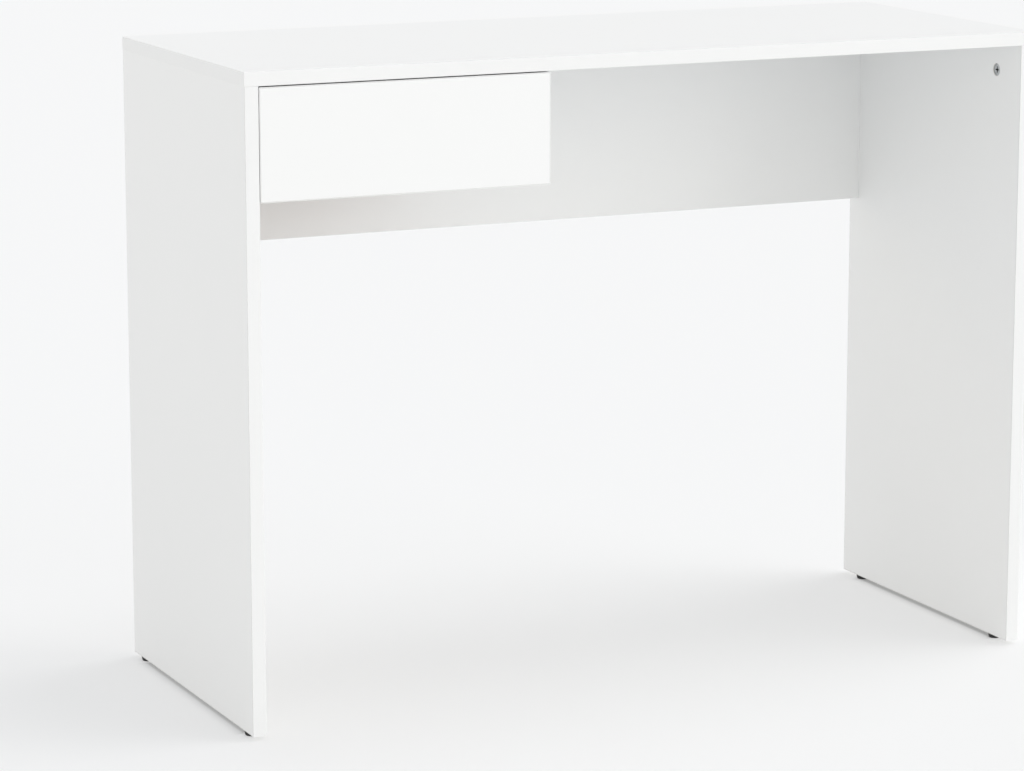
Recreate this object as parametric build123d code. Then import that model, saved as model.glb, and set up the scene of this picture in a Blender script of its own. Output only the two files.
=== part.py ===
from build123d import *
import os

# A flat-pack writing desk with one drawer under its left end, in millimetres.
# X runs along the width, the user sits on the -Y side and Z is up.
# The origin is on the floor, under the middle of the desktop.

# ---- driving dimensions ----

# Whole desk
desk_width = 1000
desk_depth = 400
desk_height = 750
board = 16  # melamine-faced chipboard
edge_band = 0.8  # plastic band glued round the board edges
arris = 0.5  # rounding of a band's two long arrises
top_overhang = 0.6  # desktop past each side panel

# Back panel, inset from the rear edge of the desk
back_height = 233.5
back_inset = 4.5

# Drawer front: it hides the partition's front edge and stops just short of the left panel
front_gap_left = 0.8
front_gap_top = 1.4
front_width = 348.9
front_height = 126.6
partition_set_in = 0.3  # partition's outer face behind the drawer front's right end
partition_height = 126
carcass_gap = 2  # drawer front's rear face to the partition's front edge

# Drawer box
side_board = 12
side_height = 96
box_length = 350
box_lift = 10  # drawer sides above the drawer front's lower edge
bottom_sheet = 3
groove_height = 3.2
groove_depth = 6
groove_lift = 12  # groove above the lower edge of the drawer sides

# Roller runners
runner_space = 12.5  # between the carcass and a drawer side
runner_length = 350
sheet = 1.2
bend = 1.4  # bend radius at the middle of the sheet
channel_height = 20
channel_reach = 10.3  # flanges, from the carcass
rider_reach = 10.1  # the moving member's upper flange, from the drawer side
roller_r = 8.5
roller_width = 6
axle_r = 2.5
axle_play = 0.05
rolling_gap = 0.1
travel = 260
rib_height = 2.5  # pressed rib that stops the open drawer's roller
rib_width = 3
end_stop_height = 15  # bent tab behind the closed drawer's roller
runner_screw_steps = (37, 165, 325)  # from the runner's front end
box_screw_steps = (34, 184, 314)
fixed_slots = (69, 133, 229, 293)
rider_slots = (60, 160, 260)

# Cam fittings
cam_r = 7.5
cam_sunk = 0.2
cam_reach = 34  # cam centre to the mating board
short_reach = 24  # the same in the drawer sides
bolt_hole_r = 4
bolt_grip = 11  # thread in the mating board
head_r = 3
neck_r = 2
shank_r = 3.4
top_cam_y = 146  # each way from the middle of the depth
back_cam_z = (550, 684)
back_top_cam_x = 250
partition_cam_y = (-146, 120)
partition_back_cam_lift = 44  # above the lower edge of the drawer sides
drawer_cam_lift = 56

# Dowels
dowel_r = 4
dowel_deep = 24
dowel_shallow = 10
small_dowel_r = 3
small_dowel_deep = 19
dowel_step = 32  # a dowel stands this far from its cam
dowel_chamfer = 0.8
partition_dowel_lifts = (16, 72)
drawer_dowel_lifts = (34, 80)

# Screws
runner_screw_grip = 12
box_screw_grip = 9
runner_screw_r = 1.75
back_screw_length = 34
back_screw_r = 2
back_screw_lifts = (38, 78)
bottom_screw_length = 16
bottom_screw_r = 1.5
bottom_screw_x = 70  # each way from the middle of the drawer
hole_play = 0.05

# Glides: centres from the middle of the depth, as fitted under each panel
glide_height = 5
glide_top_r = 8
glide_foot_r = 7.2
glide_y = {"left": (-173, 174), "right": (-161, 164)}
nail_r = 1.1
nail_length = 20

# ---- derived planes ----

half_width = desk_width / 2
half_depth = desk_depth / 2
underside = desk_height - board
outer_x = half_width - top_overhang
inner_x = outer_x - board
back_y1 = half_depth - back_inset
back_y0 = back_y1 - board
back_z0 = underside - back_height

front_x0 = -inner_x + front_gap_left
front_x1 = front_x0 + front_width
front_z1 = underside - front_gap_top
front_z0 = front_z1 - front_height
front_rear_y = -half_depth + board

partition_x1 = front_x1 - partition_set_in
partition_x0 = partition_x1 - board
partition_y0 = front_rear_y + carcass_gap
partition_z0 = underside - partition_height

bay_left = -inner_x
bay_middle = (bay_left + partition_x0) / 2
box_x0 = bay_left + runner_space
box_x1 = partition_x0 - runner_space
box_y1 = front_rear_y + box_length
box_z0 = front_z0 + box_lift
box_z1 = box_z0 + side_height
groove_z = box_z0 + groove_lift

fixed_y0 = partition_y0
fixed_y1 = fixed_y0 + runner_length
front_roller_y = fixed_y0 + 12
rear_roller_y = box_y1 - roller_r
rear_roller_z = box_z0 + roller_r + rolling_gap
front_roller_z = rear_roller_z + 0.4
rider_z = front_roller_z + roller_r + rolling_gap
stop_y = rear_roller_y - travel - 6.5
runner_screw_y = [fixed_y0 + step for step in runner_screw_steps]
box_screw_y = [front_rear_y + step for step in box_screw_steps]

cam_z = underside - cam_reach

# ---- shapes used throughout ----


def block(x, y, z):
    """A box between three pairs of limits."""
    limits = (x, y, z)
    middle = [(low + high) / 2 for low, high in limits]
    size = [high - low for low, high in limits]
    return Pos(*middle) * Box(*size)


def rod(start, direction, radius, length):
    """A cylinder from a point along a direction."""
    along = Plane(origin=start, z_dir=direction)
    return along * Cylinder(radius, length, align=(Align.CENTER, Align.CENTER, Align.MIN))


def turned(outline):
    """A solid turned about the z axis from an outline of (radius, height) points."""
    points = [(radius, 0, height) for radius, height in outline]
    return revolve(make_face(Polyline(*points, close=True)), axis=Axis.Z)


def thread(root, crest, start, length, pitch):
    """Outline points of a threaded shank, ridge by ridge."""
    points = []
    for ridge in range(int(length / pitch)):
        foot = start + ridge * pitch
        points += [(root, foot), (crest, foot + 0.45 * pitch), (root, foot + 0.8 * pitch)]
    return points


def group(pieces):
    """Like pieces kept as separate solids in one node."""
    return Compound(children=list(pieces))


def other_side(shape):
    """The drawer's right-hand piece from its left-hand one."""
    return mirror(shape, about=Plane.YZ.offset(bay_middle))


def both_sides(pieces):
    return list(pieces) + [other_side(piece) for piece in pieces]


# ---- edge bands ----


def band(x, y, z, outward, along, round_ends=False):
    """One strip of edge band with rounded outer arrises."""
    strip = block(x, y, z)
    face = max(strip.faces(), key=lambda side: side.normal_at().dot(Vector(*outward)))
    edges = face.edges() if round_ends else face.edges().filter_by(along)
    return fillet(edges, arris)


def front_and_rear_bands(x, y, z, along, round_ends=False):
    """The strips on the -Y and +Y edges of a board, outside the limits y."""
    front, rear = y
    return [
        band(x, (front - edge_band, front), z, (0, -1, 0), along, round_ends),
        band(x, (rear, rear + edge_band), z, (0, 1, 0), along, round_ends),
    ]


# ---- cam fittings, drawn with the lock's face at z = 0 and the bolt along +y ----


def cam_plane(centre, face, towards):
    """Place for a cam: face is the board's outward normal, towards the mating board."""
    return Plane(origin=centre, x_dir=Vector(*towards).cross(Vector(*face)), z_dir=face)


def cross_recess(span, width, depth):
    """The cutter for a screwdriver cross at z = 0."""
    top = (Align.CENTER, Align.CENTER, Align.MAX)
    return Box(span, width, depth, align=top) + Box(width, span, depth, align=top)


def cam_lock(thickness):
    """Die-cast housing: a round chamber traps the bolt's head behind a narrow slot."""
    depth = 0.8 * thickness
    height = 2 * (head_r + 0.2)
    recess = thickness / 2 - head_r - 1.4
    body = Pos(0, 0, -depth / 2) * Cylinder(cam_r, depth)
    rim = body.edges().filter_by(GeomType.CIRCLE).sort_by(Axis.Z)[-1]
    body = chamfer(rim, 0.3)
    body -= Pos(0, 0, -0.3) * Cylinder(cam_r - 1.3, 0.6)
    body -= Pos(0, 0, -0.6) * cross_recess(8, 1.7, recess - 0.6)
    body -= Pos(0, 0, -0.6) * Cylinder(2.2, 0.8)
    body -= Pos(0, cam_r - 0.9, -0.3) * Box(1.6, 2.4, 0.6)
    body -= Pos(0, 0, -thickness / 2) * Cylinder(5.2, height)
    body -= Pos(0, cam_r / 2 + 1, -thickness / 2) * Box(2 * neck_r + 0.6, cam_r + 2, 2 * neck_r + 0.6)
    return body


def cam_bolt(thickness, reach):
    """Steel bolt: head in the lock, shank through the board's edge, thread in the next board."""
    outline = [(0, 1.4), (head_r, 1.4), (head_r, 3.4), (neck_r, 4.4), (neck_r, 9.5), (shank_r, 10.4)]
    outline += [(shank_r, reach)]
    outline += thread(2.5, shank_r, reach + 0.2, bolt_grip - 1.2, 1.6)
    outline += [(2.5, reach + bolt_grip - 1), (1.6, reach + bolt_grip), (0, reach + bolt_grip)]
    return Plane(origin=(0, 0, -thickness / 2), z_dir=(0, 1, 0)) * turned(outline)


def cam_joint(centre, face, towards, thickness=board, reach=cam_reach):
    """One lock and bolt, with the cutters for both boards."""
    place = cam_plane(centre, face, towards)
    axis_z = -thickness / 2
    pocket = rod((0, 0, -0.8 * thickness - cam_sunk), (0, 0, 1), cam_r, thickness)
    channel = rod((0, 0, axis_z), (0, 1, 0), bolt_hole_r, reach + 1)
    pilot = rod((0, reach - 1, axis_z), (0, 1, 0), shank_r + hole_play, bolt_grip + 1.5)
    return {
        "lock": place * Pos(0, 0, -cam_sunk) * cam_lock(thickness),
        "bolt": place * cam_bolt(thickness, reach),
        "cuts": [place * pocket, place * channel],
        "pilot": place * pilot,
    }


def dowel_joint(seam, towards, radius=dowel_r, deep=dowel_deep):
    """A dowel across the seam between two boards, and its blind hole in both."""
    back = Vector(*seam) - Vector(*towards) * deep
    pin = rod(back, towards, radius, deep + dowel_shallow)
    ends = pin.edges().filter_by(GeomType.CIRCLE)
    hole = rod(back - Vector(*towards) * 0.5, towards, radius, deep + dowel_shallow + 1)
    return {"pin": chamfer(ends, dowel_chamfer), "hole": hole}


def all_of(joints, name):
    return [joint[name] for joint in joints]


def cam_cuts(joints):
    return [cutter for joint in joints for cutter in joint["cuts"]]


# ---- where the carcass is joined ----

side_top_cams = {
    "left": [
        cam_joint((-inner_x, y, cam_z), (1, 0, 0), (0, 0, 1)) for y in (-top_cam_y, top_cam_y)
    ],
    "right": [
        cam_joint((inner_x, y, cam_z), (-1, 0, 0), (0, 0, 1)) for y in (-top_cam_y, top_cam_y)
    ],
}
side_top_dowels = {
    name: [
        dowel_joint((x, y, underside), (0, 0, 1))
        for y in (-top_cam_y + dowel_step, top_cam_y - dowel_step)
    ]
    for name, x in (("left", -outer_x + board / 2), ("right", outer_x - board / 2))
}

back_middle_y = back_y1 - board / 2
back_end_cams = {
    "left": [
        cam_joint((-inner_x + cam_reach, back_y1, z), (0, 1, 0), (-1, 0, 0)) for z in back_cam_z
    ],
    "right": [
        cam_joint((inner_x - cam_reach, back_y1, z), (0, 1, 0), (1, 0, 0)) for z in back_cam_z
    ],
}
back_dowel_z = (back_cam_z[0] + dowel_step, back_cam_z[1] - dowel_step)
back_end_dowels = {
    "left": [dowel_joint((-inner_x, back_middle_y, z), (-1, 0, 0)) for z in back_dowel_z],
    "right": [dowel_joint((inner_x, back_middle_y, z), (1, 0, 0)) for z in back_dowel_z],
}
back_top_cams = [
    cam_joint((x, back_y1, cam_z), (0, 1, 0), (0, 0, 1)) for x in (-back_top_cam_x, back_top_cam_x)
]
back_top_dowels = [
    dowel_joint((x, back_middle_y, underside), (0, 0, 1))
    for x in (-back_top_cam_x + dowel_step, back_top_cam_x - dowel_step)
]

partition_middle_x = (partition_x0 + partition_x1) / 2
partition_top_cams = [
    cam_joint((partition_x0, y, cam_z), (-1, 0, 0), (0, 0, 1)) for y in partition_cam_y
]
partition_top_dowels = [
    dowel_joint((partition_middle_x, y, underside), (0, 0, 1))
    for y in (partition_cam_y[0] + dowel_step, partition_cam_y[1] - dowel_step)
]
partition_back_seat = (partition_x0, back_y0 - cam_reach, box_z0 + partition_back_cam_lift)
partition_back_cam = [cam_joint(partition_back_seat, (-1, 0, 0), (0, 1, 0))]
partition_back_dowels = [
    dowel_joint((partition_middle_x, back_y0, box_z0 + lift), (0, 1, 0))
    for lift in partition_dowel_lifts
]

# ---- where the drawer box is joined ----

side_middle_x = box_x0 + side_board / 2
drawer_cam_seat = (box_x0, front_rear_y + short_reach, box_z0 + drawer_cam_lift)
drawer_front_cams = [
    cam_joint(drawer_cam_seat, (-1, 0, 0), (0, -1, 0), thickness=side_board, reach=short_reach)
]
drawer_front_dowels = [
    dowel_joint(
        (side_middle_x, front_rear_y, box_z0 + lift), (0, -1, 0), small_dowel_r, small_dowel_deep
    )
    for lift in drawer_dowel_lifts
]


# ---- carcass boards ----


def desktop():
    half_x = half_width - edge_band
    half_y = half_depth - edge_band
    top = block((-half_x, half_x), (-half_y, half_y), (underside, desk_height))
    cams = side_top_cams["left"] + side_top_cams["right"] + back_top_cams + partition_top_cams
    dowels = side_top_dowels["left"] + side_top_dowels["right"]
    dowels += back_top_dowels + partition_top_dowels
    return top - all_of(cams, "pilot") - all_of(dowels, "hole")


def desktop_edging():
    half_x = half_width - edge_band
    half_y = half_depth - edge_band
    z = (underside, desk_height)
    strips = front_and_rear_bands((-half_width, half_width), (-half_y, half_y), z, Axis.X, True)
    strips.append(band((-half_width, -half_x), (-half_y, half_y), z, (-1, 0, 0), Axis.Y))
    strips.append(band((half_x, half_width), (-half_y, half_y), z, (1, 0, 0), Axis.Y))
    return group(strips)


def side_limits(side):
    return (-outer_x, -inner_x) if side == "left" else (inner_x, outer_x)


def glide_centres(side):
    x = sum(side_limits(side)) / 2
    return [(x, y) for y in glide_y[side]]


def nail_hole(x, y):
    return rod((x, y, glide_height - 1), (0, 0, 1), nail_r, nail_length + 2)


def side_panel(side):
    half_y = half_depth - edge_band
    panel = block(side_limits(side), (-half_y, half_y), (glide_height + edge_band, underside))
    panel -= cam_cuts(side_top_cams[side])
    panel -= all_of(side_top_dowels[side], "hole")
    panel -= all_of(back_end_cams[side], "pilot")
    panel -= all_of(back_end_dowels[side], "hole")
    panel -= [nail_hole(x, y) for x, y in glide_centres(side)]
    if side == "left":
        panel -= [cutter for _, cutter in runner_screws]
    return panel


def side_panel_edging(side):
    half_y = half_depth - edge_band
    x = side_limits(side)
    strips = front_and_rear_bands(x, (-half_y, half_y), (glide_height, underside), Axis.Z)
    low = (glide_height, glide_height + edge_band)
    foot = band(x, (-half_y, half_y), low, (0, 0, -1), Axis.Y)
    for centre_x, centre_y in glide_centres(side):
        foot -= nail_hole(centre_x, centre_y)
    return group(strips + [foot])


def back_panel():
    panel = block((-inner_x, inner_x), (back_y0, back_y1), (back_z0 + edge_band, underside))
    ends = back_end_cams["left"] + back_end_cams["right"]
    end_dowels = back_end_dowels["left"] + back_end_dowels["right"]
    panel -= cam_cuts(ends + back_top_cams)
    panel -= all_of(end_dowels + back_top_dowels + partition_back_dowels, "hole")
    return panel - all_of(partition_back_cam, "pilot")


def back_panel_edging():
    low = (back_z0, back_z0 + edge_band)
    return band((-inner_x, inner_x), (back_y0, back_y1), low, (0, 0, -1), Axis.X)


def drawer_partition():
    x = (partition_x0, partition_x1)
    panel = block(x, (partition_y0 + edge_band, back_y0), (partition_z0 + edge_band, underside))
    panel -= cam_cuts(partition_top_cams + partition_back_cam)
    panel -= all_of(partition_top_dowels + partition_back_dowels, "hole")
    return panel - [other_side(cutter) for _, cutter in runner_screws]


def drawer_partition_edging():
    x = (partition_x0, partition_x1)
    y0 = partition_y0
    front = band(x, (y0, y0 + edge_band), (partition_z0, underside), (0, -1, 0), Axis.Z)
    low = (partition_z0, partition_z0 + edge_band)
    foot = band(x, (y0 + edge_band, back_y0), low, (0, 0, -1), Axis.Y)
    return group([front, foot])


# ---- glides ----


def glide(x, y):
    """Moulded foot, tapered to the floor, with a recess that sinks the nail's head."""
    outline = [(0, 0), (glide_foot_r - 0.8, 0), (glide_foot_r, 0.8), (glide_top_r, glide_height - 0.6)]
    outline += [(glide_top_r, glide_height), (0, glide_height)]
    foot = turned(outline)
    foot -= rod((0, 0, -1), (0, 0, 1), 3.2, 3)
    foot -= rod((0, 0, 0), (0, 0, 1), nail_r, glide_height + 1)
    return Pos(x, y, 0) * foot


def glide_nail(x, y):
    """Flat-headed steel nail driven up through the glide."""
    tip = glide_height + nail_length
    outline = [(0, 0.9), (2.6, 0.9), (2.6, 2), (nail_r, 2), (nail_r, tip - 2), (0, tip)]
    return Pos(x, y, 0) * turned(outline)


# ---- screws, drawn with the seat at z = 0 and driven along +z ----


def screw_shank(root, crest, start, length, pitch):
    """Outline of a screw's threaded shank and point."""
    points = thread(root, crest, start + 0.2, length - start - 2.2, pitch)
    return points + [(root, length - 2), (0, length)]


def pan_screw(length, crest):
    """Pan-head wood screw with a cross recess."""
    outline = [(0, -1.8), (1.9, -1.8), (2.9, -1.2), (3.2, -0.5), (3.2, 0), (0.7 * crest, 0)]
    outline += screw_shank(0.7 * crest, crest, 0, length, 1.6)
    return turned(outline) - Pos(0, 0, -1.8) * mirror(cross_recess(3.4, 0.9, 1.1), about=Plane.XY)


flat_head_depth = 2.6


def flat_screw(length, crest):
    """Countersunk wood screw with a cross recess."""
    outline = [(0, 0), (2 * crest, 0), (0.7 * crest, flat_head_depth)]
    outline += screw_shank(0.7 * crest, crest, flat_head_depth, length, 1.8)
    return turned(outline) - mirror(cross_recess(4, 1, 1.4), about=Plane.XY)


def countersink(seat, direction, crest):
    """The cutter for a flat head, a little wider than the head, its slope carried past the face."""
    wide = 2 * crest + hole_play
    slope = (wide - 0.7 * crest) / flat_head_depth
    outline = [(0, -1), (wide + slope, -1), (0.7 * crest, flat_head_depth), (0, flat_head_depth)]
    return Plane(origin=seat, z_dir=direction) * turned(outline)


def driven(screw, seat, direction, length, crest):
    """A screw in its place, and the cutter for its hole."""
    place = Plane(origin=seat, z_dir=direction)
    return place * screw, rod(seat, direction, crest + hole_play, length + 0.5)


# ---- runners, drawn for the left side ----


def bent_member(path, y0, y1):
    """A length of sheet steel bent along a path of (x, z) points."""
    section = Plane(origin=(0, y1, 0), x_dir=(1, 0, 0), z_dir=(0, -1, 0))
    profile = trace(FilletPolyline(*path, radius=bend), line_width=sheet)
    return extrude(section * profile, amount=y1 - y0)


def web_slot(x, y, z):
    """The cutter for a spare mounting slot in an upright web."""
    wall = Plane(origin=(x, y, z), x_dir=(0, 1, 0), z_dir=(1, 0, 0))
    return extrude(wall * SlotOverall(11, 4.2), amount=2 * sheet, both=True)


channel_middle_z = box_z0 + channel_height / 2


def runner_screw(seat, direction, grip):
    """A screw through a runner's sheet into a board."""
    length = sheet + grip
    return driven(pan_screw(length, runner_screw_r), seat, direction, length, runner_screw_r)


runner_screws = [
    runner_screw((bay_left + sheet, y, channel_middle_z), (-1, 0, 0), runner_screw_grip)
    for y in runner_screw_y
]
box_screws = [
    runner_screw((side_middle_x, y, box_z0 - sheet), (0, 0, 1), box_screw_grip)
    for y in box_screw_y
]


def fixed_runner():
    """Channel on the carcass: floor for the rear roller, end stop, and a rib that ends the travel."""
    low = box_z0 - sheet / 2
    high = box_z0 + channel_height + sheet / 2
    web_x = bay_left + sheet / 2
    lip_x = bay_left + channel_reach
    path = [(lip_x, low), (web_x, low), (web_x, high), (lip_x, high)]
    channel = bent_member(path, fixed_y0, fixed_y1)
    floor_z = box_z0 - sheet / 2
    inside = (bay_left + sheet + 1, lip_x - 0.4)
    channel += block(inside, (fixed_y1 - sheet, fixed_y1), (floor_z, box_z0 + end_stop_height))
    channel += block(inside, (stop_y - rib_width, stop_y), (floor_z, box_z0 + rib_height))
    channel -= rod((bay_left - 1, front_roller_y, front_roller_z), (1, 0, 0), axle_r, 2 * sheet + 1)
    channel -= [cutter for _, cutter in runner_screws]
    for distance in fixed_slots:
        channel -= web_slot(web_x, fixed_y0 + distance, channel_middle_z)
    return channel


def drawer_runner():
    """Member on the drawer: shelf under the side, web, and an upper flange that rides on a roller."""
    low = box_z0 - sheet / 2
    high = rider_z + sheet / 2
    web_x = box_x0 - sheet / 2
    path = [(box_x0 + side_board, low), (web_x, low), (web_x, high), (box_x0 - rider_reach, high)]
    member = bent_member(path, front_rear_y + 1, box_y1)
    member -= rod((box_x0 + 1, rear_roller_y, rear_roller_z), (-1, 0, 0), axle_r, 2 * sheet + 1)
    member -= [cutter for _, cutter in box_screws]
    for distance in rider_slots:
        member -= web_slot(web_x, front_rear_y + distance, channel_middle_z)
    return member


def roller():
    """Nylon roller about the z axis, its near face at z = 0."""
    outline = [
        (axle_r + axle_play, 0),
        (roller_r - 0.6, 0),
        (roller_r, 0.6),
        (roller_r, roller_width - 0.6),
        (roller_r - 0.6, roller_width),
        (roller_r - 2, roller_width),
        (roller_r - 2.3, roller_width - 1),
        (axle_r + 1.8, roller_width - 1),
        (axle_r + 1.5, roller_width),
        (axle_r + axle_play, roller_width),
    ]
    return turned(outline)


roller_start = sheet + 0.9  # from the face the member is screwed to


def axle():
    """Riveted axle along z from the outside of the member's web."""
    roller_end = roller_start + roller_width
    outline = [
        (0, 0),
        (axle_r, 0),
        (axle_r, sheet),
        (axle_r + 1, sheet),
        (axle_r + 1, roller_start - 0.1),
        (axle_r, roller_start - 0.1),
        (axle_r, roller_end + 0.1),
        (axle_r + 1.5, roller_end + 0.1),
        (axle_r + 1.1, roller_end + 0.9),
        (0, roller_end + 0.9),
    ]
    return turned(outline)


front_axle_place = Plane(origin=(bay_left, front_roller_y, front_roller_z), z_dir=(1, 0, 0))
rear_axle_place = Plane(origin=(box_x0, rear_roller_y, rear_roller_z), z_dir=(-1, 0, 0))


def front_roller():
    return front_axle_place * Pos(0, 0, roller_start) * roller()


def rear_roller():
    return rear_axle_place * Pos(0, 0, roller_start) * roller()


# ---- drawer box ----

drawer_back_y = box_y1 - side_board / 2
back_screw_seats = [(box_x0, drawer_back_y, box_z0 + lift) for lift in back_screw_lifts]
back_screws = [
    driven(
        flat_screw(back_screw_length, back_screw_r), seat, (1, 0, 0), back_screw_length, back_screw_r
    )
    for seat in back_screw_seats
]
bottom_screws = [
    driven(
        pan_screw(bottom_screw_length, bottom_screw_r),
        (bay_middle + x, drawer_back_y, groove_z),
        (0, 0, 1),
        bottom_screw_length,
        bottom_screw_r,
    )
    for x in (-bottom_screw_x, bottom_screw_x)
]


def drawer_front():
    x = (front_x0 + edge_band, front_x1 - edge_band)
    z = (front_z0 + edge_band, front_z1 - edge_band)
    panel = block(x, (-half_depth, front_rear_y), z)
    cut_x = (box_x0 + side_board - groove_depth, box_x1 - side_board + groove_depth)
    cut_z = (groove_z, groove_z + groove_height)
    panel -= block(cut_x, (front_rear_y - groove_depth, front_rear_y + 1), cut_z)
    panel -= both_sides(all_of(drawer_front_cams, "pilot"))
    return panel - both_sides(all_of(drawer_front_dowels, "hole"))


def drawer_front_edging():
    y = (-half_depth, front_rear_y)
    strips = []
    for z0, up in ((front_z0, -1), (front_z1 - edge_band, 1)):
        strips.append(band((front_x0, front_x1), y, (z0, z0 + edge_band), (0, 0, up), Axis.X, True))
    z = (front_z0 + edge_band, front_z1 - edge_band)
    for x0, side in ((front_x0, -1), (front_x1 - edge_band, 1)):
        strips.append(band((x0, x0 + edge_band), y, z, (side, 0, 0), Axis.Z))
    return group(strips)


def drawer_side():
    inner = box_x0 + side_board
    panel = block((box_x0, inner), (front_rear_y, box_y1), (box_z0, box_z1))
    lengthwise = panel.edges().filter_by(Axis.Y)
    upper = lengthwise.group_by(Axis.Z)[-1]
    lower_outer = lengthwise.group_by(Axis.Z)[0].sort_by(Axis.X)[0]
    panel = fillet(upper + [lower_outer], 1)
    cut_z = (groove_z, groove_z + groove_height)
    panel -= block((inner - groove_depth, inner + 1), (front_rear_y - 1, box_y1 + 1), cut_z)
    panel -= cam_cuts(drawer_front_cams)
    panel -= all_of(drawer_front_dowels, "hole")
    panel -= [cutter for _, cutter in box_screws]
    panel -= [countersink(seat, (1, 0, 0), back_screw_r) for seat in back_screw_seats]
    return panel - [cutter for _, cutter in back_screws]


def drawer_back():
    x = (box_x0 + side_board, box_x1 - side_board)
    panel = block(x, (box_y1 - side_board, box_y1), (groove_z + groove_height, box_z1))
    upper = panel.edges().filter_by(Axis.X).group_by(Axis.Z)[-1]
    panel = fillet(upper, 1)
    panel -= both_sides([cutter for _, cutter in back_screws])
    return panel - [cutter for _, cutter in bottom_screws]


def drawer_bottom():
    reach = groove_depth - 0.4
    x = (box_x0 + side_board - reach, box_x1 - side_board + reach)
    panel = block(x, (front_rear_y - reach, box_y1), (groove_z, groove_z + bottom_sheet))
    return panel - [cutter for _, cutter in bottom_screws]


# ---- nodes ----

sides = ("left", "right")

nodes = {
    "desktop": desktop(),
    "desktop_edging": desktop_edging(),
    "back_panel": back_panel(),
    "back_panel_edging": back_panel_edging(),
    "drawer_partition": drawer_partition(),
    "drawer_partition_edging": drawer_partition_edging(),
    "partition_cam_locks": group(all_of(partition_top_cams + partition_back_cam, "lock")),
    "partition_cam_bolts": group(all_of(partition_top_cams + partition_back_cam, "bolt")),
    "partition_dowels": group(all_of(partition_top_dowels + partition_back_dowels, "pin")),
    "back_top_cam_locks": group(all_of(back_top_cams, "lock")),
    "back_top_cam_bolts": group(all_of(back_top_cams, "bolt")),
    "back_top_dowels": group(all_of(back_top_dowels, "pin")),
    "drawer_front": drawer_front(),
    "drawer_front_edging": drawer_front_edging(),
    "drawer_back": drawer_back(),
    "drawer_bottom": drawer_bottom(),
    "drawer_front_dowels": group(both_sides(all_of(drawer_front_dowels, "pin"))),
    "drawer_front_cam_locks": group(both_sides(all_of(drawer_front_cams, "lock"))),
    "drawer_front_cam_bolts": group(both_sides(all_of(drawer_front_cams, "bolt"))),
    "drawer_back_screws": group(both_sides([screw for screw, _ in back_screws])),
    "drawer_bottom_screws": group([screw for screw, _ in bottom_screws]),
    "glide_nails": group(glide_nail(x, y) for side in sides for x, y in glide_centres(side)),
}

for side in sides:
    nodes[f"side_panel_{side}"] = side_panel(side)
    nodes[f"side_panel_{side}_edging"] = side_panel_edging(side)
    nodes[f"side_{side}_top_cam_locks"] = group(all_of(side_top_cams[side], "lock"))
    nodes[f"side_{side}_top_cam_bolts"] = group(all_of(side_top_cams[side], "bolt"))
    nodes[f"side_{side}_top_dowels"] = group(all_of(side_top_dowels[side], "pin"))
    nodes[f"back_{side}_cam_locks"] = group(all_of(back_end_cams[side], "lock"))
    nodes[f"back_{side}_cam_bolts"] = group(all_of(back_end_cams[side], "bolt"))
    nodes[f"back_{side}_dowels"] = group(all_of(back_end_dowels[side], "pin"))
    for place, centre in zip(("front", "rear"), glide_centres(side)):
        nodes[f"glide_{side}_{place}"] = glide(*centre)

handed = {
    "fixed_runner": fixed_runner(),
    "fixed_runner_axle": front_axle_place * axle(),
    "fixed_runner_screws": group([screw for screw, _ in runner_screws]),
    "front_roller": front_roller(),
    "drawer_side": drawer_side(),
    "drawer_runner": drawer_runner(),
    "drawer_runner_axle": rear_axle_place * axle(),
    "drawer_runner_screws": group([screw for screw, _ in box_screws]),
    "rear_roller": rear_roller(),
}
for name, shape in handed.items():
    nodes[f"{name}_left"] = shape
    nodes[f"{name}_right"] = other_side(shape)

os.makedirs("parts", exist_ok=True)
for name, shape in nodes.items():
    export_step(shape, f"parts/{name}.step")
print(len(nodes), "nodes")
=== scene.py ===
import math

import bmesh
import bpy
from mathutils import Euler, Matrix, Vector


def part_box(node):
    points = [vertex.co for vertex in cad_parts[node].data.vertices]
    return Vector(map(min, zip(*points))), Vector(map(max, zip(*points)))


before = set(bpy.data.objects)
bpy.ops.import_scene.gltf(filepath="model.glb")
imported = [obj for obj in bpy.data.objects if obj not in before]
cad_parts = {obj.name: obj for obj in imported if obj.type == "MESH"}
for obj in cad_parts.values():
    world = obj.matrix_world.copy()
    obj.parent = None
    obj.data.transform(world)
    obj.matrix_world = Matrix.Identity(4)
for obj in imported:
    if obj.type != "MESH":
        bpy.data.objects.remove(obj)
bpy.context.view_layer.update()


# ---- Desktop ----
# 16 mm chipboard faced on both sides with white melamine paper, pressed against a plate with a fine
# pearl grain. It rests on the side panels and the back panel, held by cam bolts screwed in from below.


def linear(hex_colour):
    """An sRGB hex colour in linear light, with an alpha of 1."""
    channels = [int(hex_colour[i : i + 2], 16) / 255 for i in (0, 2, 4)]
    return [c / 12.92 if c <= 0.04045 else ((c + 0.055) / 1.055) ** 2.4 for c in channels] + [1]


def add(tree, kind, inputs=None, **settings):
    """Add a shader node. An input is a value, or a socket to link from.

    Math and Mix inputs go by number: a Mix has 2 and 3 for numbers, and 6 and 7 for colours.
    """
    node = tree.nodes.new("ShaderNode" + kind)
    for name, value in settings.items():
        setattr(node, name, value)
    for name, value in (inputs or {}).items():
        if isinstance(value, bpy.types.NodeSocket):
            tree.links.new(value, node.inputs[name])
        else:
            node.inputs[name].default_value = value
    return node


def new_material(name):
    """An empty node material, its node tree, and the object's own coordinates in metres."""
    material = bpy.data.materials.new(name)
    material.use_nodes = True
    tree = material.node_tree
    tree.nodes.clear()
    return material, tree, add(tree, "TexCoord").outputs["Object"]


def finish_with(node_names, material):
    """Give CAD pieces a material in place of their plain one."""
    for name in node_names:
        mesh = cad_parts[name].data
        mesh.materials.clear()
        mesh.materials.append(material)


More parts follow.
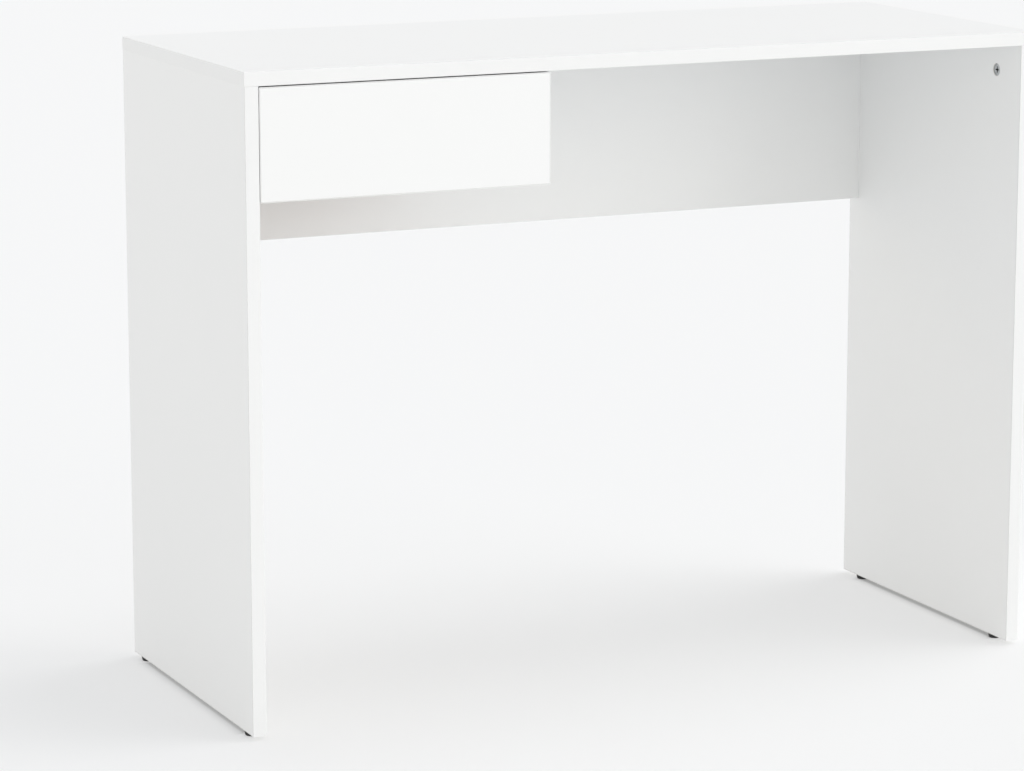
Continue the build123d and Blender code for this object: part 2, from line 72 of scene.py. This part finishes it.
def near_side(tree, along, node_name, axis, side, reach):
    """1 within reach of the low or high side of a piece's box."""
    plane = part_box(node_name)[side]["XYZ".index(axis)]
    return add(tree, "Math", {0: along[axis], 1: plane, 2: reach}, operation="COMPARE").outputs[0]


def either(tree, masks):
    """1 where any of the masks is."""
    joined = masks[0]
    for mask in masks[1:]:
        joined = add(tree, "Math", {0: joined, 1: mask}, operation="MAXIMUM").outputs[0]
    return joined


def chipboard_colour(tree, point):
    """Sawn chipboard's colour and relief: 2 to 3 mm flakes of pale and brown wood in glue."""
    flake_size = 0.0025
    fibre_size = 0.0011
    fibre_share = 0.45
    flakes = add(tree, "TexVoronoi", {"Vector": point, "Scale": 1 / flake_size}).outputs
    fibres = add(tree, "TexNoise", {"Vector": point, "Scale": 1 / fibre_size, "Detail": 4}).outputs["Fac"]
    shade = add(tree, "Mix", {"Factor": fibre_share, 2: flakes["Color"], 3: fibres}, data_type="FLOAT")
    ramp = add(tree, "ValToRGB", {"Fac": shade.outputs[0]})
    ramp.color_ramp.elements[0].position = 0.25
    ramp.color_ramp.elements[0].color = linear("8A6A45")
    ramp.color_ramp.elements[1].position = 0.75
    ramp.color_ramp.elements[1].color = linear("D9BE92")
    return ramp.outputs["Color"], shade.outputs[0]


def melamine_board(name, node_name, axis, banded, wrapped=(), white="F1F2F2", roughness=0.36):
    """White melamine paper pressed on chipboard: low gloss, and a brown core where it is cut.

    The axis goes through the board's thickness. The banded and wrapped sides are given as an
    axis letter with 0 for the low side or 1 for the high side.
    """
    material, tree, point = new_material(name)
    parts = add(tree, "SeparateXYZ", {"Vector": point}).outputs
    along = {letter: parts[letter] for letter in "XYZ"}
    skin_depth = 0.00012
    skins = [near_side(tree, along, node_name, axis, side, skin_depth) for side in (0, 1)]
    # a foil that is wrapped over a rounded edge covers that edge too
    wrap_depth = 0.0011
    skins += [near_side(tree, along, node_name, letter, side, wrap_depth) for letter, side in wrapped]
    mask = either(tree, skins)
    core, relief = chipboard_colour(tree, point)

    # the paper's white drifts by a percent or so across a board
    cloud_size = 0.25
    cloud = add(tree, "TexNoise", {"Vector": point, "Scale": 1 / cloud_size, "Detail": 2}).outputs["Fac"]
    cloud_dip = 0.015
    pale = linear(white)
    dim = [c * (1 - cloud_dip) for c in pale[:3]] + [1]
    paper = add(tree, "Mix", {"Factor": cloud, 6: pale, 7: dim}, data_type="RGBA").outputs[2]

    # the hot-melt glue shows as a grey hairline where a band meets the face
    glue_line = 0.0002
    glue = [near_side(tree, along, node_name, letter, side, glue_line) for letter, side in banded]
    face = paper
    if glue:
        line = either(tree, glue)
        grey = linear("9C9A94")
        face = add(tree, "Mix", {"Factor": line, 6: paper, 7: grey}, data_type="RGBA").outputs[2]
    colour = add(tree, "Mix", {"Factor": mask, 6: core, 7: face}, data_type="RGBA").outputs[2]

    # pearl grain: real grains are 0.3 to 0.5 mm, drawn at 1.2 mm so that they show. Under it, the
    # press leaves a long shallow wave, six times as deep
    grain_size = 0.0012
    grain_depth = 0.000012
    wave_size = 0.045
    wave_share = 6.0
    sawn_depth = 0.0003
    pearl = add(tree, "TexNoise", {"Vector": point, "Scale": 1 / grain_size, "Detail": 1}).outputs["Fac"]
    wave = add(tree, "TexNoise", {"Vector": point, "Scale": 1 / wave_size, "Detail": 0}).outputs["Fac"]
    wavy = add(tree, "Math", {0: wave, 1: wave_share, 2: pearl}, operation="MULTIPLY_ADD").outputs[0]
    height = add(tree, "Mix", {"Factor": mask, 2: relief, 3: wavy}, data_type="FLOAT").outputs[0]
    depth = add(tree, "MapRange", {"Value": mask, "To Min": sawn_depth, "To Max": grain_depth}).outputs[0]
    bump = add(tree, "Bump", {"Distance": depth, "Height": height}).outputs[0]

    spread = 0.05
    sawn_roughness = 0.85
    rough = add(
        tree,
        "MapRange",
        {"Value": pearl, "To Min": roughness - spread, "To Max": roughness + spread},
    ).outputs[0]
    rough = add(
        tree, "Mix", {"Factor": mask, 2: sawn_roughness, 3: rough}, data_type="FLOAT"
    ).outputs[0]
    shader = add(
        tree,
        "BsdfPrincipled",
        {"Base Color": colour, "Roughness": rough, "Normal": bump, "IOR": 1.5},
    )
    add(tree, "OutputMaterial", {"Surface": shader.outputs[0]})
    return material


desktop_bands = [("X", 0), ("X", 1), ("Y", 0), ("Y", 1)]
finish_with(["desktop"], melamine_board("melamine_desktop", "desktop", "Z", desktop_bands))


# ---- Edge bands ----
# 0.8 mm white ABS glued round the boards by a hot-melt edger, then scraped to a small radius. The
# scraper leaves faint lines along the band, and the plastic is a little glossier than the faces.


def abs_band(axis):
    """Extruded and scraped white ABS: satin, with fine lines along the band.

    The axis goes through the thickness of the boards that the band is glued to.
    """
    material, tree, point = new_material(f"abs_edge_band_{axis.lower()}")
    # real scraper lines are about 0.1 mm apart, drawn at 0.6 mm so that they show
    line_pitch = 0.0006
    line_length = 0.08
    line_depth = 0.000006
    stretch = [1 / line_pitch if name == axis else 1 / line_length for name in "XYZ"]
    lines = add(tree, "Mapping", {"Vector": point, "Scale": stretch}).outputs[0]
    fine = add(tree, "TexNoise", {"Vector": lines, "Scale": 1.0, "Detail": 1}).outputs["Fac"]
    cloud_size = 0.08
    cloud = add(tree, "TexNoise", {"Vector": point, "Scale": 1 / cloud_size, "Detail": 2}).outputs["Fac"]
    colour = add(
        tree,
        "Mix",
        {"Factor": cloud, 6: linear("EFF0F0"), 7: linear("ECEDED")},
        data_type="RGBA",
    ).outputs[2]
    rough = add(tree, "MapRange", {"Value": fine, "To Min": 0.26, "To Max": 0.34}).outputs[0]
    bump = add(tree, "Bump", {"Distance": line_depth, "Height": fine}).outputs[0]
    shader = add(
        tree,
        "BsdfPrincipled",
        {"Base Color": colour, "Roughness": rough, "Normal": bump, "IOR": 1.52},
    )
    add(tree, "OutputMaterial", {"Surface": shader.outputs[0]})
    return material


finish_with(["desktop_edging"], abs_band("Z"))
finish_with(["back_panel_edging", "drawer_front_edging"], abs_band("Y"))
finish_with(
    ["side_panel_left_edging", "side_panel_right_edging", "drawer_partition_edging"], abs_band("X")
)


# ---- Side panels ----
# Full-depth slabs of the same faced chipboard, 729 mm high, drilled for the cam fittings, the
# dowels and the nails of the glides.

side_panel_bands = [("Y", 0), ("Y", 1), ("Z", 0)]
for side in ("left", "right"):
    node_name = f"side_panel_{side}"
    board = melamine_board(f"melamine_{node_name}", node_name, "X", side_panel_bands)
    finish_with([node_name], board)


# ---- Back panel and drawer partition ----
# The back panel stiffens the desk under the rear of the desktop, and its one band sits so tight
# that no glue shows. The partition hangs under the desktop and carries the drawer's right runner.

finish_with(["back_panel"], melamine_board("melamine_back_panel", "back_panel", "Y", banded=[]))
partition_bands = [("Y", 0), ("Z", 0)]
finish_with(
    ["drawer_partition"],
    melamine_board("melamine_drawer_partition", "drawer_partition", "X", partition_bands),
)


# ---- Drawer front ----
# A handle-less slab of faced chipboard, banded on all four edges. It is pulled by its lower edge.

front_bands = [("X", 0), ("X", 1), ("Z", 0), ("Z", 1)]
finish_with(["drawer_front"], melamine_board("melamine_drawer_front", "drawer_front", "Y", front_bands))


# ---- Drawer box ----
# 12 mm chipboard sides and back wrapped in matt white paper foil, with the sawn ends, the grooves
# and the back's lower edge left bare, and a 3 mm hardboard bottom lacquered white on its upper
# face and brown underneath.

foil = {"banded": [], "white": "ECEDEB", "roughness": 0.5}
finish_with(
    ["drawer_back"],
    melamine_board("foil_drawer_back", "drawer_back", "Y", wrapped=[("Z", 1)], **foil),
)
both_edges = [("Z", 0), ("Z", 1)]
for side in ("left", "right"):
    node_name = f"drawer_side_{side}"
    board = melamine_board(f"foil_{node_name}", node_name, "X", wrapped=both_edges, **foil)
    finish_with([node_name], board)


def lacquered_hardboard():
    """Wet-process hardboard: brown felted fibre, with a thin white lacquer on the upper face."""
    material, tree, point = new_material("lacquered_hardboard")
    height = add(tree, "SeparateXYZ", {"Vector": point}).outputs["Z"]
    lacquer_reach = 0.00012
    mask = near_side(tree, {"Z": height}, "drawer_bottom", "Z", 1, lacquer_reach)
    fibre_size = 0.0015
    felt_depth = 0.00004
    fibre = add(
        tree,
        "TexNoise",
        {"Vector": point, "Scale": 1 / fibre_size, "Detail": 5, "Roughness": 0.7},
    ).outputs["Fac"]
    ramp = add(tree, "ValToRGB", {"Fac": fibre})
    ramp.color_ramp.elements[0].position = 0.3
    ramp.color_ramp.elements[0].color = linear("6E4A2C")
    ramp.color_ramp.elements[1].position = 0.7
    ramp.color_ramp.elements[1].color = linear("9A7148")
    colour = add(
        tree,
        "Mix",
        {"Factor": mask, 6: ramp.outputs["Color"], 7: linear("EAEBE9")},
        data_type="RGBA",
    ).outputs[2]
    rough = add(tree, "MapRange", {"Value": mask, "To Min": 0.75, "To Max": 0.42}).outputs[0]
    bump = add(tree, "Bump", {"Distance": felt_depth, "Height": fibre}).outputs[0]
    shader = add(tree, "BsdfPrincipled", {"Base Color": colour, "Roughness": rough, "Normal": bump})
    add(tree, "OutputMaterial", {"Surface": shader.outputs[0]})
    return material


finish_with(["drawer_bottom"], lacquered_hardboard())


# ---- Cam locks, bolts and dowels ----
# Zinc die-cast locks, 15 mm across, turned with a cross screwdriver until they grip the heads of
# zinc-plated steel bolts. Beech dowels beside them keep the boards in line.


def metal(name, colour, roughness, grain_size, depth, painted_recess_tone):
    """Bare or plated metal with a fine granular surface, with painted shade in its recesses."""
    material, tree, point = new_material(name)
    grain = add(tree, "TexNoise", {"Vector": point, "Scale": 1 / grain_size, "Detail": 3}).outputs["Fac"]
    grain_dip = 0.2
    bright = linear(colour)
    dull = [c * (1 - grain_dip) for c in bright[:3]] + [1]
    tone = add(tree, "Mix", {"Factor": grain, 6: bright, 7: dull}, data_type="RGBA").outputs[2]
    # painted shade: ambient occlusion darkens the colour towards the bottom of a recess a few millimetres
    # wide
    recess_reach = 0.004
    openness = add(tree, "AmbientOcclusion", {"Distance": recess_reach}, samples=8).outputs["AO"]
    painted_recess_shade = add(
        tree,
        "MapRange",
        {"Value": openness, "From Min": 0.15, "From Max": 0.75, "To Min": painted_recess_tone, "To Max": 1.0},
    ).outputs[0]
    black = linear("000000")
    tone = add(tree, "Mix", {"Factor": painted_recess_shade, 6: black, 7: tone}, data_type="RGBA").outputs[2]
    spread = 0.08
    rough = add(
        tree,
        "MapRange",
        {"Value": grain, "To Min": roughness - spread, "To Max": roughness + spread},
    ).outputs[0]
    bump = add(tree, "Bump", {"Distance": depth, "Height": grain}).outputs[0]
    shader = add(
        tree,
        "BsdfPrincipled",
        {"Base Color": tone, "Metallic": 1.0, "Roughness": rough, "Normal": bump},
    )
    add(tree, "OutputMaterial", {"Surface": shader.outputs[0]})
    return material


# a tumbled zinc casting is a pale blue-grey with a slightly sandy skin, with painted shade near black in
# its cross
zinc_casting = metal("die_cast_zinc", "D4D7D9", 0.34, 0.0005, 0.00003, painted_recess_tone=0.15)
# bright zinc plating is smoother, and its painted shade in the recesses is lighter
plated_steel = metal("zinc_plated_steel", "C4C7C9", 0.3, 0.0008, 0.00001, painted_recess_tone=0.35)
finish_with([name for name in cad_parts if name.endswith("locks")], zinc_casting)
finish_with(
    [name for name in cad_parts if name.endswith("bolts") or "screws" in name or "nails" in name],
    plated_steel,
)


def beech():
    """Turned beech, unfinished: pale and matt, with its short brown flecks."""
    material, tree, point = new_material("beech_dowel")
    fleck_size = 0.0025
    pore_depth = 0.00005
    grain = add(tree, "TexNoise", {"Vector": point, "Scale": 1 / fleck_size, "Detail": 4}).outputs["Fac"]
    ramp = add(tree, "ValToRGB", {"Fac": grain})
    ramp.color_ramp.elements[0].position = 0.35
    ramp.color_ramp.elements[0].color = linear("B98D5E")
    ramp.color_ramp.elements[1].position = 0.6
    ramp.color_ramp.elements[1].color = linear("DDBB8C")
    bump = add(tree, "Bump", {"Distance": pore_depth, "Height": grain}).outputs[0]
    shader = add(
        tree,
        "BsdfPrincipled",
        {"Base Color": ramp.outputs[0], "Roughness": 0.6, "Normal": bump},
    )
    add(tree, "OutputMaterial", {"Surface": shader.outputs[0]})
    return material


finish_with([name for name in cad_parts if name.endswith("dowels")], beech())


# ---- Runners ----
# 1.2 mm steel strip bent to shape and coated white with epoxy powder, riveted axles, and nylon
# rollers: one at the front of each fixed channel and one at the rear of each moving member.


def powder_coat():
    """Epoxy powder on steel: satin white with a soft orange peel."""
    material, tree, point = new_material("epoxy_powder_coat")
    peel_size = 0.0016
    peel_depth = 0.00003
    peel = add(tree, "TexNoise", {"Vector": point, "Scale": 1 / peel_size, "Detail": 1}).outputs["Fac"]
    bump = add(tree, "Bump", {"Distance": peel_depth, "Height": peel}).outputs[0]
    rough = add(tree, "MapRange", {"Value": peel, "To Min": 0.28, "To Max": 0.36}).outputs[0]
    colour = add(
        tree,
        "Mix",
        {"Factor": peel, 6: linear("ECEDEC"), 7: linear("E6E7E6")},
        data_type="RGBA",
    ).outputs[2]
    shader = add(tree, "BsdfPrincipled", {"Base Color": colour, "Roughness": rough, "Normal": bump})
    add(tree, "OutputMaterial", {"Surface": shader.outputs[0]})
    return material


def nylon():
    """Moulded natural nylon: milky, slightly translucent, with faint flow marks."""
    material, tree, point = new_material("moulded_nylon")
    flow_size = 0.0033
    flow_depth = 0.00002
    flow = add(tree, "TexNoise", {"Vector": point, "Scale": 1 / flow_size, "Detail": 2}).outputs["Fac"]
    colour = add(
        tree,
        "Mix",
        {"Factor": flow, 6: linear("EDEAE0"), 7: linear("E2DED2")},
        data_type="RGBA",
    ).outputs[2]
    bump = add(tree, "Bump", {"Distance": flow_depth, "Height": flow}).outputs[0]
    shader = add(
        tree,
        "BsdfPrincipled",
        {
            "Base Color": colour,
            "Roughness": 0.38,
            "Normal": bump,
            "IOR": 1.53,
            "Subsurface Weight": 0.2,
            "Subsurface Scale": 0.002,
        },
    )
    add(tree, "OutputMaterial", {"Surface": shader.outputs[0]})
    return material


finish_with(
    ["fixed_runner_left", "fixed_runner_right", "drawer_runner_left", "drawer_runner_right"],
    powder_coat(),
)
finish_with([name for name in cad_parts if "roller" in name], nylon())
finish_with([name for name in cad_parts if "axle" in name], plated_steel)


# ---- Glides ----
# Black polyethylene feet, 16 mm across and 5 mm high, nailed into the lower edge of each panel.


def moulded_black():
    """Black polyethylene: low sheen, with a faint spark-eroded mould texture."""
    material, tree, point = new_material("black_polyethylene")
    pit_size = 0.0004
    pit_depth = 0.00002
    spark = add(tree, "TexNoise", {"Vector": point, "Scale": 1 / pit_size, "Detail": 2}).outputs["Fac"]
    bump = add(tree, "Bump", {"Distance": pit_depth, "Height": spark}).outputs[0]
    rough = add(tree, "MapRange", {"Value": spark, "To Min": 0.4, "To Max": 0.55}).outputs[0]
    colour = add(
        tree,
        "Mix",
        {"Factor": spark, 6: linear("121212"), 7: linear("1B1B1B")},
        data_type="RGBA",
    ).outputs[2]
    shader = add(
        tree,
        "BsdfPrincipled",
        {"Base Color": colour, "Roughness": rough, "Normal": bump, "IOR": 1.51},
    )
    add(tree, "OutputMaterial", {"Surface": shader.outputs[0]})
    return material


glides = [f"glide_{side}_{end}" for side in ("left", "right") for end in ("front", "rear")]
finish_with(glides, moulded_black())


# ---- Floor, light and camera ----
# A white acrylic sweep with a painted glow, no lamp beneath it, so that the shadows on it stay pale, in a
# room with white walls and a greyer ceiling. A wide softbox stands on the floor at the front right, and a
# smaller one hangs high on the right.


def acrylic_sweep():
    """Matt white acrylic with a painted glow. Pale, even, and with a painted shadow only right under the
    panels.
    """
    material, tree, point = new_material("white_acrylic_sweep")
    # painted contact shadow: under a panel's foot, and within a few centimetres of it, ambient occlusion
    # darkens the floor's colour and its glow
    foot_reach = 0.03
    foot_shade = 0.46
    openness = add(tree, "AmbientOcclusion", {"Distance": foot_reach}, samples=16).outputs["AO"]
    shade = add(
        tree,
        "MapRange",
        {"Value": openness, "From Min": 0.1, "From Max": 0.7, "To Min": foot_shade, "To Max": 1.0},
    ).outputs[0]
    # the painted shadow fades out towards the glides' outer edges, under the open ends of the panels
    glide_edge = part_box("glide_left_rear")[1][1]
    fade_end = glide_edge - 0.015
    fade_length = 0.017
    across = add(tree, "SeparateXYZ", {"Vector": point}).outputs["Y"]
    from_middle = add(tree, "Math", {0: across}, operation="ABSOLUTE").outputs[0]
    painted_shadow_fade = add(
        tree,
        "MapRange",
        {"Value": from_middle, "From Min": fade_end - fade_length, "From Max": fade_end},
    ).outputs[0]
    shade = add(tree, "Math", {0: shade, 1: painted_shadow_fade}, operation="MAXIMUM").outputs[0]
    black = linear("000000")
    white = linear("C7C7C6")
    dim_white = add(tree, "Mix", {"Factor": shade, 6: black, 7: white}, data_type="RGBA").outputs[2]
    # the floor's emission is a painted glow, dimmed by the painted shadow
    painted_glow_strength = 0.366
    painted_glow = add(tree, "Math", {0: shade, 1: painted_glow_strength}, operation="MULTIPLY").outputs[0]
    shader = add(
        tree,
        "BsdfPrincipled",
        {
            "Base Color": dim_white,
            "Roughness": 0.9,
            "Specular IOR Level": 0.0,
            "Emission Color": linear("FFFFFF"),
            "Emission Strength": painted_glow,
        },
    )
    add(tree, "OutputMaterial", {"Surface": shader.outputs[0]})
    return material


floor_size = 80
floor_mesh = bpy.data.meshes.new("floor")
bm = bmesh.new()
bmesh.ops.create_grid(bm, x_segments=1, y_segments=1, size=floor_size / 2)
bm.to_mesh(floor_mesh)
bm.free()
floor_mesh.materials.append(acrylic_sweep())
floor = bpy.data.objects.new("floor", floor_mesh)
bpy.context.scene.collection.objects.link(floor)

# the ceiling is greyer and a touch cooler than the walls
room_strength = 1.04
world = bpy.data.worlds.new("white_room")
bpy.context.scene.world = world
world.use_nodes = True
room_tree = world.node_tree
room_height = add(
    room_tree,
    "SeparateXYZ",
    {"Vector": add(room_tree, "TexCoord").outputs["Generated"]},
).outputs["Z"]
room = add(room_tree, "ValToRGB", {"Fac": room_height})
room.color_ramp.elements[0].position = 0.35
room.color_ramp.elements[0].color = linear("FFFBF4")
room.color_ramp.elements[1].position = 0.65
room.color_ramp.elements[1].color = linear("C8CCD3")
background = room_tree.nodes["Background"]
room_tree.links.new(room.outputs["Color"], background.inputs["Color"])
background.inputs["Strength"].default_value = room_strength

# each softbox has its turn from the desk's front to its right, its height and its width, all in
# degrees as seen from the desk, and its strength
low_softbox = (50, 5, 60, 1.25)
high_softbox = (90, 60, 40, 0.74)
for turn, height, width, strength in (low_softbox, high_softbox):
    softbox = bpy.data.lights.new(f"softbox_{turn}", "SUN")
    softbox.energy = strength
    softbox.angle = math.radians(width)
    stand = bpy.data.objects.new(f"softbox_{turn}", softbox)
    stand.rotation_euler = Euler((math.radians(90 - height), 0, math.radians(turn)))
    bpy.context.scene.collection.objects.link(stand)

camera_place = Vector((-1.954, -4.043, 1.224))
camera_turn = math.radians(24.76)  # from looking along the depth, towards the drawerless end
camera_tilt = math.radians(11.29)  # down from level
camera_data = bpy.data.cameras.new("camera")
camera_data.lens = 134.1
camera_data.sensor_width = 36
camera = bpy.data.objects.new("camera", camera_data)
camera.location = camera_place
camera.rotation_euler = Euler((math.pi / 2 - camera_tilt, 0, -camera_turn))
bpy.context.scene.collection.objects.link(camera)
bpy.context.scene.camera = camera

bpy.context.scene.view_settings.view_transform = "Standard"
